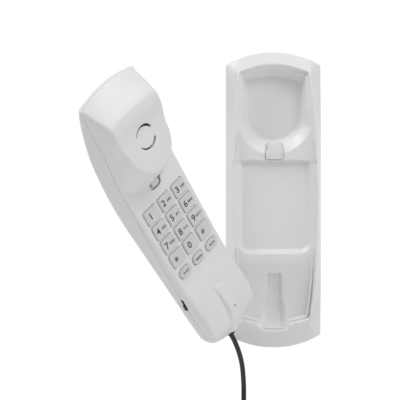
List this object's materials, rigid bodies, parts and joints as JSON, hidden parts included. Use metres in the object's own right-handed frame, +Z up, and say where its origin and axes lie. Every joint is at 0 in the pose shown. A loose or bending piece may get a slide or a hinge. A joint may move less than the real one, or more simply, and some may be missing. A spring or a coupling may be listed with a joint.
{
  "type": "slimline wall telephone",
  "caption": "Slim corded wall telephone: an arched wall base with a cradle and a handset with a raised earpiece, a three-column keypad and a coiled cord.",
  "frame": {"origin": "midway between the two keyholes, on the wall face of the base", "axes": "+X to the right seen from the front, +Y into the wall, +Z up"},
  "size_m": [0.1553, 0.1434, 0.3534],
  "materials": {
    "white_abs": "moulded, satin",
    "grey_key": "moulded, satin",
    "white_lever": "moulded",
    "black_rubber": "matte",
    "black_cord": "satin",
    "black_plastic": "moulded",
    "silicone": "matte",
    "board_green": "solder mask",
    "screw_steel": "zinc plated",
    "contact_gold": "gold plated",
    "capsule_aluminium": "pressed",
    "brass_disc": "bare",
    "clear_plug": "clear moulded"
  },
  "bodies": {
    "wall_base": {"base_shell": "white_abs", "base_back_plate": "white_abs", "base_screws": "screw_steel", "base_feet": "black_rubber", "line_jack": "black_plastic", "line_jack_contacts": "contact_gold", "handset_jack": "black_plastic", "handset_jack_contacts": "contact_gold", "jack_board": "board_green"},
    "hanger": {"hanger_tab": "white_abs"},
    "handset": {"handset_front_shell": "white_abs", "handset_back_shell": "white_abs", "keypad_mat": "silicone", "main_board": "board_green", "board_components": "black_plastic", "board_screws": "screw_steel", "receiver_gasket": "black_rubber", "receiver_capsule": "capsule_aluminium", "microphone_boot": "black_rubber", "microphone_capsule": "capsule_aluminium", "ringer_disc": "brass_disc", "ringer_switch_body": "black_plastic", "hook_switch_body": "black_plastic", "handset_screws": "screw_steel", "cord_grommet": "black_rubber", "cord_lead": "black_cord", "cord_curl": "black_cord", "cord_tie": "black_plastic", "cord_tail": "black_cord", "cord_plug": "clear_plug", "plug_contacts": "contact_gold"},
    "hook_button": {"hook_plunger": "white_lever"},
    "ringer_slider": {"ringer_switch_knob": "black_plastic"},
    "key_1_cap": {"key_1": "grey_key"},
    "key_2_cap": {"key_2": "grey_key"},
    "key_3_cap": {"key_3": "grey_key"},
    "key_4_cap": {"key_4": "grey_key"},
    "key_5_cap": {"key_5": "grey_key"},
    "key_6_cap": {"key_6": "grey_key"},
    "key_7_cap": {"key_7": "grey_key"},
    "key_8_cap": {"key_8": "grey_key"},
    "key_9_cap": {"key_9": "grey_key"},
    "key_star_cap": {"key_star": "grey_key"},
    "key_0_cap": {"key_0": "grey_key"},
    "key_hash_cap": {"key_hash": "grey_key"},
    "key_flash_cap": {"key_flash": "grey_key"},
    "key_redial_cap": {"key_redial": "grey_key"},
    "key_mute_cap": {"key_mute": "grey_key"}
  },
  "joints": [
    {"name": "handset_lift", "type": "hinge", "parent": "wall_base", "child": "handset", "pos_m": [-0.05922, -0.05803, 0.0564], "axis": [-0.3127, -0.1561, 0.9369], "range_deg": [0, 139.3]},
    {"name": "hanger_slide", "type": "slide", "parent": "wall_base", "child": "hanger", "axis": [0, -1, 0], "range_m": [0, 0.004]},
    {"name": "hook_press", "type": "slide", "parent": "handset", "child": "hook_button", "axis": [-0.6963, 0.7158, 0.0535], "range_m": [0, 0.003], "stiffness_N_per_m": 150, "springref_m": -0.001},
    {"name": "ringer_slide", "type": "slide", "parent": "handset", "child": "ringer_slider", "axis": [-0.4136, -0.461, 0.7851], "range_m": [0, 0.004]},
    {"name": "key_1_press", "type": "slide", "parent": "handset", "child": "key_1_cap", "axis": [-0.6737, 0.7389, 0.0124], "range_m": [0, 0.001], "stiffness_N_per_m": 400, "springref_m": -0.0005},
    {"name": "key_2_press", "type": "slide", "parent": "handset", "child": "key_2_cap", "axis": [-0.6737, 0.7389, 0.0124], "range_m": [0, 0.001], "stiffness_N_per_m": 400, "springref_m": -0.0005},
    {"name": "key_3_press", "type": "slide", "parent": "handset", "child": "key_3_cap", "axis": [-0.6737, 0.7389, 0.0124], "range_m": [0, 0.001], "stiffness_N_per_m": 400, "springref_m": -0.0005},
    {"name": "key_4_press", "type": "slide", "parent": "handset", "child": "key_4_cap", "axis": [-0.6737, 0.7389, 0.0124], "range_m": [0, 0.001], "stiffness_N_per_m": 400, "springref_m": -0.0005},
    {"name": "key_5_press", "type": "slide", "parent": "handset", "child": "key_5_cap", "axis": [-0.6737, 0.7389, 0.0124], "range_m": [0, 0.001], "stiffness_N_per_m": 400, "springref_m": -0.0005},
    {"name": "key_6_press", "type": "slide", "parent": "handset", "child": "key_6_cap", "axis": [-0.6737, 0.7389, 0.0124], "range_m": [0, 0.001], "stiffness_N_per_m": 400, "springref_m": -0.0005},
    {"name": "key_7_press", "type": "slide", "parent": "handset", "child": "key_7_cap", "axis": [-0.6737, 0.7389, 0.0124], "range_m": [0, 0.001], "stiffness_N_per_m": 400, "springref_m": -0.0005},
    {"name": "key_8_press", "type": "slide", "parent": "handset", "child": "key_8_cap", "axis": [-0.6737, 0.7389, 0.0124], "range_m": [0, 0.001], "stiffness_N_per_m": 400, "springref_m": -0.0005},
    {"name": "key_9_press", "type": "slide", "parent": "handset", "child": "key_9_cap", "axis": [-0.6737, 0.7389, 0.0124], "range_m": [0, 0.001], "stiffness_N_per_m": 400, "springref_m": -0.0005},
    {"name": "key_star_press", "type": "slide", "parent": "handset", "child": "key_star_cap", "axis": [-0.6737, 0.7389, 0.0124], "range_m": [0, 0.001], "stiffness_N_per_m": 400, "springref_m": -0.0005},
    {"name": "key_0_press", "type": "slide", "parent": "handset", "child": "key_0_cap", "axis": [-0.6737, 0.7389, 0.0124], "range_m": [0, 0.001], "stiffness_N_per_m": 400, "springref_m": -0.0005},
    {"name": "key_hash_press", "type": "slide", "parent": "handset", "child": "key_hash_cap", "axis": [-0.6737, 0.7389, 0.0124], "range_m": [0, 0.001], "stiffness_N_per_m": 400, "springref_m": -0.0005},
    {"name": "key_flash_press", "type": "slide", "parent": "handset", "child": "key_flash_cap", "axis": [-0.6737, 0.7389, 0.0124], "range_m": [0, 0.001], "stiffness_N_per_m": 400, "springref_m": -0.0005},
    {"name": "key_redial_press", "type": "slide", "parent": "handset", "child": "key_redial_cap", "axis": [-0.6737, 0.7389, 0.0124], "range_m": [0, 0.001], "stiffness_N_per_m": 400, "springref_m": -0.0005},
    {"name": "key_mute_press", "type": "slide", "parent": "handset", "child": "key_mute_cap", "axis": [-0.6737, 0.7389, 0.0124], "range_m": [0, 0.001], "stiffness_N_per_m": 400, "springref_m": -0.0005}
  ]
}
